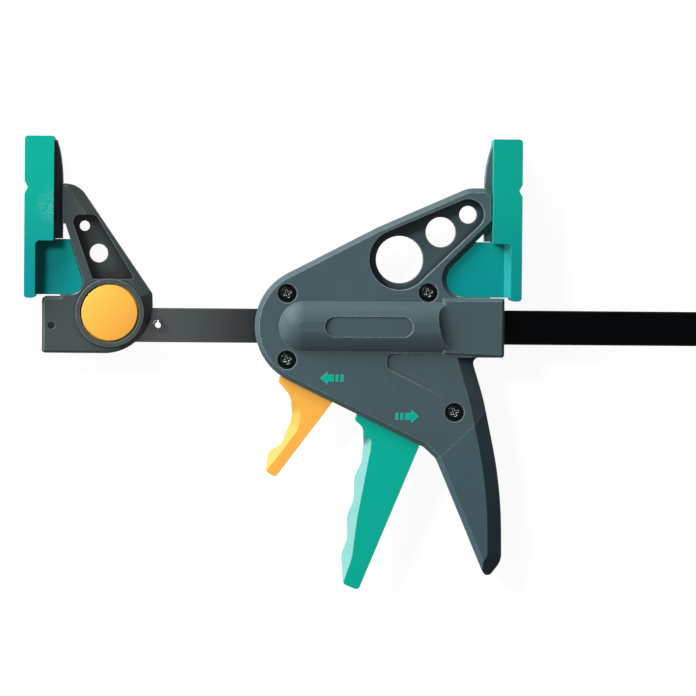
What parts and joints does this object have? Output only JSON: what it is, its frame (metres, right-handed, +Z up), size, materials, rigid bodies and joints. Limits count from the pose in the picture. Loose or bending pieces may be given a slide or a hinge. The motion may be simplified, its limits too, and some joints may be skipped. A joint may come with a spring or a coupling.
{
  "type": "one-handed bar clamp",
  "caption": "One-handed bar clamp set up to spread: pump lever, release trigger, sliding jaw on a flat steel bar, reversible fixed jaw with a release button, and soft pads.",
  "frame": {"origin": "middle of the sliding pad's working face, halfway up the pad and halfway through its width", "axes": "+X is the way the sliding pad's working face looks, along the bar. +Y runs across the bar, from the handle towards the pads. +Z is up from the side that the clamp lies on, through the flat of the tool."},
  "size_m": [0.5125, 0.2634, 0.036],
  "materials": {
    "housing_plastic": "glass-filled nylon, moulded with a fine eroded texture",
    "sleeve_rubber": "soft thermoplastic rubber, moulded over the handle",
    "jaw_plastic": "glass-filled nylon, moulded with a fine eroded texture",
    "lever_plastic": "glass-filled nylon, satin moulded",
    "signal_plastic": "acetal, satin moulded",
    "pad_rubber": "soft thermoplastic rubber, satin moulded",
    "bar_steel": "cold-drawn flat bar, black oxide",
    "screw_steel": "black oxide, cross recess",
    "pin_steel": "plain steel, rolled or turned",
    "plate_steel": "hardened and tumbled steel plate",
    "spring_steel": "drawn spring wire"
  },
  "bodies": {
    "housing": {"housing_near_shell": "housing_plastic", "housing_far_shell": "housing_plastic", "handle_sleeve": "sleeve_rubber", "housing_screws": "screw_steel", "lever_pivot_pin": "pin_steel", "trigger_pivot_pin": "pin_steel", "sliding_pad": "pad_rubber", "drive_spring": "spring_steel", "brake_spring": "spring_steel"},
    "bar_and_fixed_jaw": {"bar": "bar_steel", "stop_pin_jaw_end": "pin_steel", "stop_pin_free_end": "pin_steel", "fixed_jaw_body": "jaw_plastic", "fixed_pad": "pad_rubber", "button_spring": "spring_steel"},
    "pump_lever": {"pump_lever": "lever_plastic"},
    "drive_plates": {"drive_plate_1": "plate_steel", "drive_plate_2": "plate_steel", "drive_plate_3": "plate_steel"},
    "release_trigger": {"release_trigger": "signal_plastic"},
    "brake_plate": {"brake_plate": "plate_steel"},
    "release_button": {"release_button": "signal_plastic", "lock_pin": "pin_steel"}
  },
  "joints": [
    {"name": "bar_slide", "type": "slide", "parent": "housing", "child": "bar_and_fixed_jaw", "axis": [1, 0, 0], "range_m": [-0.216, 0.052]},
    {"name": "pump_lever_hinge", "type": "hinge", "parent": "housing", "child": "pump_lever", "pos_m": [-0.066, -0.09275, 0], "axis": [0, 0, 1], "range_deg": [0, 22], "stiffness_Nm_per_rad": 0.2, "springref_deg": -22.92},
    {"name": "drive_slide", "type": "slide", "parent": "housing", "child": "drive_plates", "axis": [-1, 0, 0], "range_m": [0, 0.005], "deforming": ["drive_spring"]},
    {"name": "trigger_hinge", "type": "hinge", "parent": "housing", "child": "release_trigger", "pos_m": [-0.117, -0.09475, 0], "axis": [0, 0, 1], "range_deg": [0, 12], "stiffness_Nm_per_rad": 0.1, "springref_deg": -22.92},
    {"name": "brake_hinge", "type": "hinge", "parent": "housing", "child": "brake_plate", "pos_m": [-0.127, -0.03875, 0], "axis": [0, 0, 1], "range_deg": [-3, 0], "deforming": ["brake_spring"]},
    {"name": "button_slide", "type": "slide", "parent": "bar_and_fixed_jaw", "child": "release_button", "axis": [0, 0, -1], "range_m": [0, 0.005], "stiffness_N_per_m": 150, "springref_m": -0.006, "deforming": ["button_spring"]}
  ],
  "couplings": [
    {"joint": "drive_slide", "follows": "pump_lever_hinge", "m_per_rad": 0.01276},
    {"joint": "brake_hinge", "follows": "trigger_hinge", "ratio": -0.25}
  ]
}
